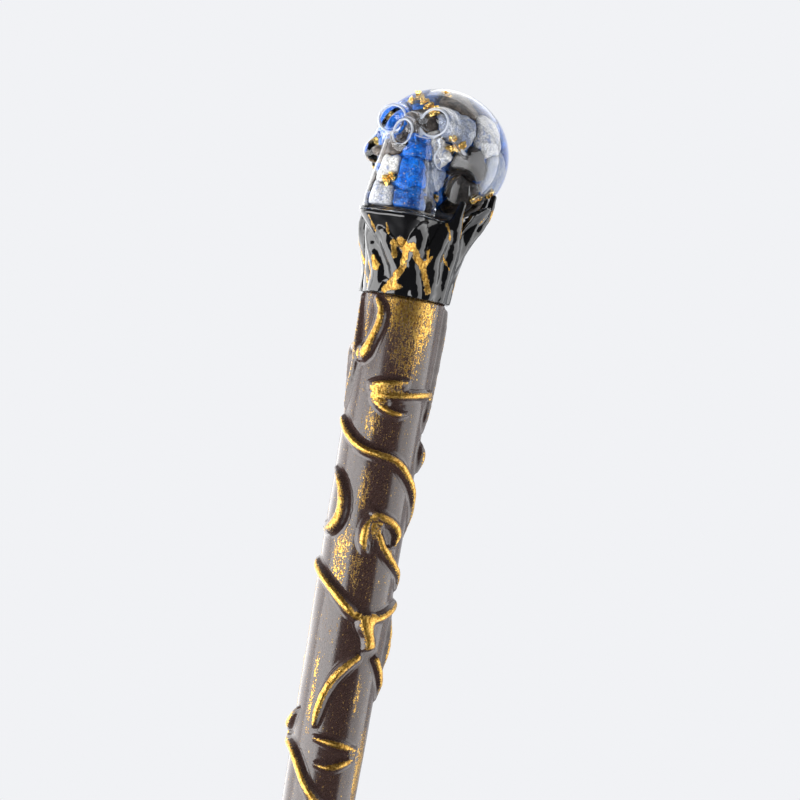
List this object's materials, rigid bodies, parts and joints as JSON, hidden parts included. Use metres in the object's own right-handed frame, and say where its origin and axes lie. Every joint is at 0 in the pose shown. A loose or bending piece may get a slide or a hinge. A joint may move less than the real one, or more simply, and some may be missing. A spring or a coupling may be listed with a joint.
{
  "type": "magic wand",
  "caption": "Hand-held prop wand: tapered brown shaft with raised gold-edged vines, black root collar and a clear skull pommel filled with stone chips and gold foil.",
  "frame": {"origin": "centre of the grip, on the shaft's axis, 60 mm below the collar seam", "axes": "+Z along the shaft's axis towards the skull; the skull faces -Y; +X is the skull's left"},
  "size_m": [0.0328, 0.0401, 0.3495],
  "materials": {
    "core_wood": "bare turned birch",
    "shaft_paint": "satin-gloss dark brown paint with dry-brushed gold",
    "vine_gold": "brown relief with antique gold rubbed on its crest",
    "collar_resin": "high-gloss black resin with gold brush strokes",
    "skull_resin": "clear polished cast resin",
    "lapis": "tumbled lapis with gold flecks",
    "quartz": "tumbled milky and grey quartz",
    "smoky_stone": "tumbled dark smoky stone",
    "gold_foil": "crumpled gold leaf"
  },
  "bodies": {
    "root": {"core_rod": "core_wood", "shaft_sleeve": "shaft_paint", "collar_cup": "collar_resin", "front_roots": "collar_resin", "near_roots": "collar_resin", "back_roots": "collar_resin", "far_roots": "collar_resin", "skull_casting": "skull_resin", "lapis_chips": "lapis", "quartz_chips": "quartz", "smoky_chips": "smoky_stone", "gold_foil": "gold_foil", "neck_curl": "vine_gold", "left_vein": "vine_gold", "left_twig": "vine_gold", "right_ridge": "vine_gold", "pod_upper_lip": "vine_gold", "pod_stem": "vine_gold", "pod_lower_lip": "vine_gold", "diagonal_vine": "vine_gold", "left_bud": "vine_gold", "right_bud": "vine_gold", "hook_leg": "vine_gold", "hook_arch": "vine_gold", "hook_tendril": "vine_gold", "fork_left_arm": "vine_gold", "fork_right_arm": "vine_gold", "fork_stem": "vine_gold", "fork_left_leg": "vine_gold", "fork_right_leg": "vine_gold", "boat_upper_lip": "vine_gold", "boat_lower_lip": "vine_gold", "right_bead": "vine_gold", "left_low_vine": "vine_gold", "low_vine": "vine_gold", "back_vine": "vine_gold", "back_branch": "vine_gold", "back_buds": "vine_gold", "back_leaf_upper": "vine_gold", "back_leaf_lower": "vine_gold", "tail_vine": "vine_gold", "tail_tendril": "vine_gold", "tail_buds": "vine_gold"}
  },
  "joints": []
}
